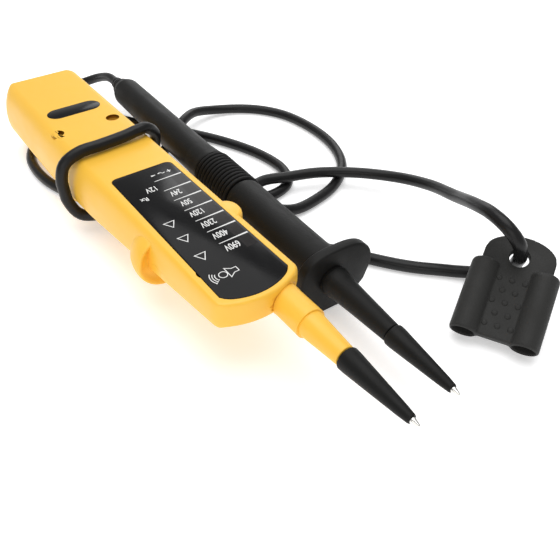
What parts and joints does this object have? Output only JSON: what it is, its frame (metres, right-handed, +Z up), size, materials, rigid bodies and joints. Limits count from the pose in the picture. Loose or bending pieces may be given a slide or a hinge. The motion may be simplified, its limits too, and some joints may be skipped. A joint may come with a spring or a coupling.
{
  "type": "two-pole voltage tester",
  "caption": "Yellow hand-held two-pole voltage tester with a fixed probe, joined by a test lead to a loose black probe, with a rubber tip cover on the lead.",
  "frame": {"origin": "on the table under the middle of the display unit and the loose probe, which lie side by side", "axes": "+X towards the probe tips, +Y from the display unit towards the loose probe, +Z up from the table"},
  "size_m": [0.287, 0.1323, 0.0352],
  "materials": {
    "yellow_shell": "satin moulded, slight gloss on the edges",
    "black_handle": "matt moulded black",
    "label": "glossy black overlay with white print",
    "light_lens": "dark red translucent, unlit",
    "led": "clear epoxy",
    "board": "green solder mask",
    "chip": "black epoxy packages",
    "sounder": "black sounder case",
    "resistor": "lacquered resistor body",
    "cell_jacket": "gold foil jacket",
    "spring_metal": "nickel-plated spring steel",
    "tip_metal": "bright nickel-plated brass",
    "lead_jacket": "semi-gloss black lead jacket",
    "grip_rubber": "matt ribbed grip",
    "cover_rubber": "matt dark grey rubber"
  },
  "bodies": {
    "housing": {"top_shell": "yellow_shell", "bottom_shell": "yellow_shell", "finger_guard": "yellow_shell", "front_label": "label", "badge_plate": "label", "light_guides": "light_lens", "leds": "led", "circuit_board": "board", "board_chips": "chip", "sounder": "sounder", "input_resistors": "resistor", "battery_cells": "cell_jacket", "battery_contacts": "spring_metal", "case_screws": "spring_metal", "lead_gland": "lead_jacket", "nose_tube": "yellow_shell", "contact_rod": "tip_metal", "test_lead": "lead_jacket"},
    "door": {"battery_door": "yellow_shell"},
    "main_cap": {"tip_cap": "black_handle"},
    "loose_probe": {"probe_handle": "black_handle", "probe_grip": "grip_rubber", "probe_guard": "black_handle", "probe_shaft": "black_handle", "probe_rod": "tip_metal", "probe_resistor": "resistor", "probe_wires": "spring_metal", "probe_collar": "black_handle", "strain_relief": "lead_jacket"},
    "loose_cap": {"probe_tip_cap": "black_handle"},
    "cover": {"tip_cover": "cover_rubber"}
  },
  "joints": [
    {"name": "door_slide", "type": "slide", "parent": "housing", "child": "door", "axis": [-1, 0, 0], "range_m": [0, 0.054]},
    {"name": "main_cap_pull", "type": "slide", "parent": "housing", "child": "main_cap", "axis": [1, 0, 0], "range_m": [0, 0.03]},
    {"name": "probe_lift", "type": "slide", "parent": "housing", "child": "loose_probe", "axis": [0, 0, 1], "range_m": [0, 0.03]},
    {"name": "loose_cap_pull", "type": "slide", "parent": "loose_probe", "child": "loose_cap", "axis": [0.9992, -0.0401, 0], "range_m": [0, 0.03]},
    {"name": "cover_slide", "type": "slide", "parent": "housing", "child": "cover", "axis": [0.2118, -0.4103, 0.887], "range_m": [0, 0.004]}
  ]
}
